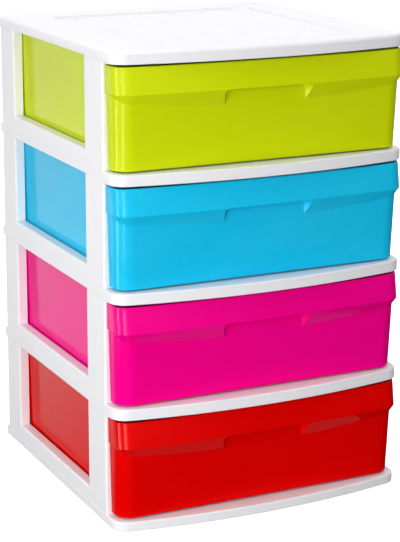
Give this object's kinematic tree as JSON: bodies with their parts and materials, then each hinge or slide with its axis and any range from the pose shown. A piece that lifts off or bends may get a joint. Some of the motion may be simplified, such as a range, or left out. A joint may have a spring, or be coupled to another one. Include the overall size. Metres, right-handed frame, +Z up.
{
  "type": "plastic drawer tower",
  "caption": "Free-standing plastic drawer tower: white open-sided frame of stacked shelves with bright sliding drawers, bowed fronts and finger recesses.",
  "frame": {"origin": "middle of the footprint on the floor, under the base panel", "axes": "+Z up, +Y towards the back, +X to the right seen from the front; drawers slide out along -Y"},
  "size_m": [0.39, 0.406, 0.578],
  "materials": {
    "white_plastic": "satin",
    "lime_plastic": "gloss",
    "blue_plastic": "gloss",
    "magenta_plastic": "gloss",
    "red_plastic": "gloss"
  },
  "bodies": {
    "tower_frame": {"top_panel": "white_plastic", "base_panel": "white_plastic", "divider_shelf_1": "white_plastic", "divider_shelf_2": "white_plastic", "divider_shelf_3": "white_plastic", "left_side_frame_1": "white_plastic", "right_side_frame_1": "white_plastic", "back_panel_1": "white_plastic", "left_side_frame_2": "white_plastic", "right_side_frame_2": "white_plastic", "back_panel_2": "white_plastic", "left_side_frame_3": "white_plastic", "right_side_frame_3": "white_plastic", "back_panel_3": "white_plastic", "left_side_frame_4": "white_plastic", "right_side_frame_4": "white_plastic", "back_panel_4": "white_plastic"},
    "drawer_1": {"drawer_1_lime": "lime_plastic"},
    "drawer_2": {"drawer_2_blue": "blue_plastic"},
    "drawer_3": {"drawer_3_magenta": "magenta_plastic"},
    "drawer_4": {"drawer_4_red": "red_plastic"}
  },
  "joints": [
    {"name": "drawer_1_slide", "type": "slide", "parent": "tower_frame", "child": "drawer_1", "axis": [0, -1, 0], "range_m": [0, 0.28]},
    {"name": "drawer_2_slide", "type": "slide", "parent": "tower_frame", "child": "drawer_2", "axis": [0, -1, 0], "range_m": [0, 0.28]},
    {"name": "drawer_3_slide", "type": "slide", "parent": "tower_frame", "child": "drawer_3", "axis": [0, -1, 0], "range_m": [0, 0.28]},
    {"name": "drawer_4_slide", "type": "slide", "parent": "tower_frame", "child": "drawer_4", "axis": [0, -1, 0], "range_m": [0, 0.28]}
  ]
}
